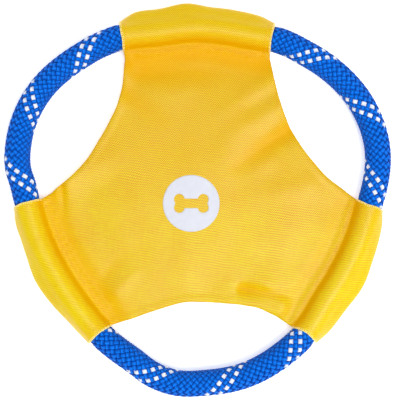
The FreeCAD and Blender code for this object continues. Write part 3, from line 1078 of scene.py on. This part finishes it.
def badge_piece(material):
    """The printed disc, laid on the weave of the upper ply, with a bone-shaped window."""
    rim = BADGE_RADIUS * unit(np.arange(0, 360, 2))
    bone = bone_outline()
    limits = (-BADGE_RADIUS, BADGE_RADIUS + 0.1)
    grid = staggered(limits, limits, PRINT_PITCH)
    gap = np.minimum(nearest(grid, rim), nearest(grid, bone))
    grid = grid[(np.hypot(*grid.T) < BADGE_RADIUS) & (gap > 0.4)]
    points = np.concatenate([rim, bone, grid]) + BADGE_CENTRE
    flat, faces = triangulated(points, [len(rim), len(bone)])
    middles = np.array([flat[face].mean(axis=0) for face in faces])
    in_window = inside(middles, bone + BADGE_CENTRE)
    faces = [face for face, gone in zip(faces, in_window) if not gone]
    up = cloth_heights(flat, 1)[0] + PRINT_LIFT
    piece = new_mesh("badge_film", np.column_stack([flat, up]), faces,
                     {"weave": np.column_stack([flat, np.ones(len(flat))])})
    thicken(piece, PRINT_THICKNESS, 0.0)
    return finish_piece(piece, "cloth", material, ("badge_print",))


def print_material():
    """White film: satin, with the weave faintly showing through it."""
    material, tree, shader = node_tree("print_film")
    u, v, side = weave_place(tree)
    mottle = noise_at(u, v, side, 0.3)
    fill(tree, shader, {
        "Base Color": mixed_colour(tree, mottle, linear(202, 205, 216), linear(215, 217, 227)),
        "Roughness": 0.42,
        "Specular IOR Level": 0.3,
    })
    bumped(tree, shader, weave_shares(u, v)[0], 0.03 * MM)
    return material


def make_rope():
    """The braid, strand by strand, with its white tracer pair."""
    blue = strand_material("strand_blue", (0, 46, 136), (4, 124, 246), 0.5, 0.36)
    white = strand_material("strand_white", (178, 192, 220), (248, 250, 253), 0.55, 0.1)
    # Painted shade for the gaps between strands.
    gap_shade = plain_material("gap_shade_blue", (0, 28, 92), 0.8)
    half = STRANDS // 2
    plain = [(1, k) for k in range(STRANDS) if k not in TRACERS]
    other = [(-1, k) for k in range(STRANDS)]
    braid_piece("braid_forward_1", plain[:5], blue, ("rope_sheath",))
    braid_piece("braid_forward_2", plain[5:], blue)
    braid_piece("braid_back_1", other[:half], blue)
    braid_piece("braid_back_2", other[half:], blue)
    braid_piece("tracer_strands", [(1, k) for k in TRACERS], white)
    gap_shade_piece(gap_shade)
    tape_piece(plain_material("splice_film", (205, 208, 212), 0.35))


def make_cloth():
    """Both plies, the badge and all the sewing."""
    cloth = woven_material()
    thread = plain_material("sewing_thread", (240, 182, 22), 0.55)
    pale = plain_material("overlock_thread", (252, 232, 150), 0.6)
    upper = ply_piece("upper_ply", 1, cloth, "top_panel")
    lower = ply_piece("lower_ply", -1, cloth, "bottom_panel")
    badge_piece(print_material())
    for sleeve in SLEEVES:
        channel_stitches(sleeve, thread)
        seam_thread("outer_seam", sleeve, seam_points(sleeve, 0.4, 70), thread)
        for which in (0, 1):
            hem_stitches(sleeve, which, thread)
            rim_loops(sleeve, which, pale)
    for hollow in HOLLOWS:
        seam_thread("hollow_seam", hollow, hollow_points(hollow, 80), thread)


def finish_hidden_nodes():
    """Materials for the CAD pieces that stay as they are, inside the rope."""
    yarn = plain_material("core_yarn", (214, 208, 190), 0.85, 0.25, 2500.0)
    for name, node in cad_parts.items():
        if name.startswith("core_strand"):
            node.data.materials.clear()
            node.data.materials.append(yarn)


def make_floor():
    """A plain pale floor, which glows more far off, where less light falls."""
    bpy.ops.mesh.primitive_plane_add(size=6.0)
    floor = bpy.context.object
    floor.name = "floor"
    material, tree, shader = node_tree("floor_white")
    place = added(tree, "TexCoord", {})
    far = added(tree, "VectorMath", {0: place.outputs["Object"]})
    far.operation = "LENGTH"
    fill(tree, shader, {
        "Base Color": linear(252, 252, 252),
        "Roughness": 0.9,
        "Specular IOR Level": 0.0,
        "Emission Color": (1, 1, 1, 1),
        "Emission Strength": map_range(tree, far.outputs["Value"], GLOW_REACH, GLOW, "SMOOTHSTEP"),
    })
    floor.data.materials.append(material)


def area_light(name, location, size, power, shiny=False):
    """A soft square light that faces the hub; shiny says whether it shows in gloss."""
    data = bpy.data.lights.new(name, "AREA")
    data.size = size
    data.energy = power
    light = bpy.data.objects.new(name, data)
    light.location = location
    light.visible_glossy = shiny
    light.rotation_euler = (-Vector(location)).to_track_quat("-Z", "Y").to_euler()
    bpy.context.scene.collection.objects.link(light)


def make_lights():
    """Soft light from above, a key from the front right, a fill and a pale surround."""
    world = bpy.data.worlds.new("studio")
    world.use_nodes = True
    tree = world.node_tree
    background = next(n for n in tree.nodes if n.type == "BACKGROUND")
    place = added(tree, "TexCoord", {})
    split = added(tree, "SeparateXYZ", {0: place.outputs["Generated"]})
    level = map_range(tree, split.outputs[2], (0.0, SKY_FROM), SKY)
    fill(tree, background, {"Color": (1, 1, 1, 1), "Strength": level})
    bpy.context.scene.world = world
    world.cycles_visibility.glossy = False
    area_light("overhead", (-0.05, 0.05, 1.3), 1.0, 6.6)
    area_light("gloss", (0.34, -0.3, 1.3), 0.4, 8.0, True)
    area_light("key", (0.6, -0.6, 0.75), 0.5, 3.5)
    area_light("fill", (-0.5, 0.6, 0.9), 0.8, 2.0)
    bpy.context.scene.view_settings.view_transform = "Standard"


def make_camera():
    """Straight down, framed as a square of FRAME_WIDTH at the rope's mid height."""
    data = bpy.data.cameras.new("camera")
    data.lens = LENS
    data.sensor_width = SENSOR
    camera = bpy.data.objects.new("camera", data)
    height = MID_HEIGHT + FRAME_WIDTH * LENS / SENSOR
    camera.location = (*(HUB + FRAME_MIDDLE) * MM, height * MM)
    bpy.context.scene.collection.objects.link(camera)
    bpy.context.scene.camera = camera


def plain(corners):
    """A box's two corners as lists of numbers."""
    return [[float(x) for x in corner] for corner in corners]


make_camera()
make_rope()
make_cloth()
finish_hidden_nodes()
make_floor()
make_lights()
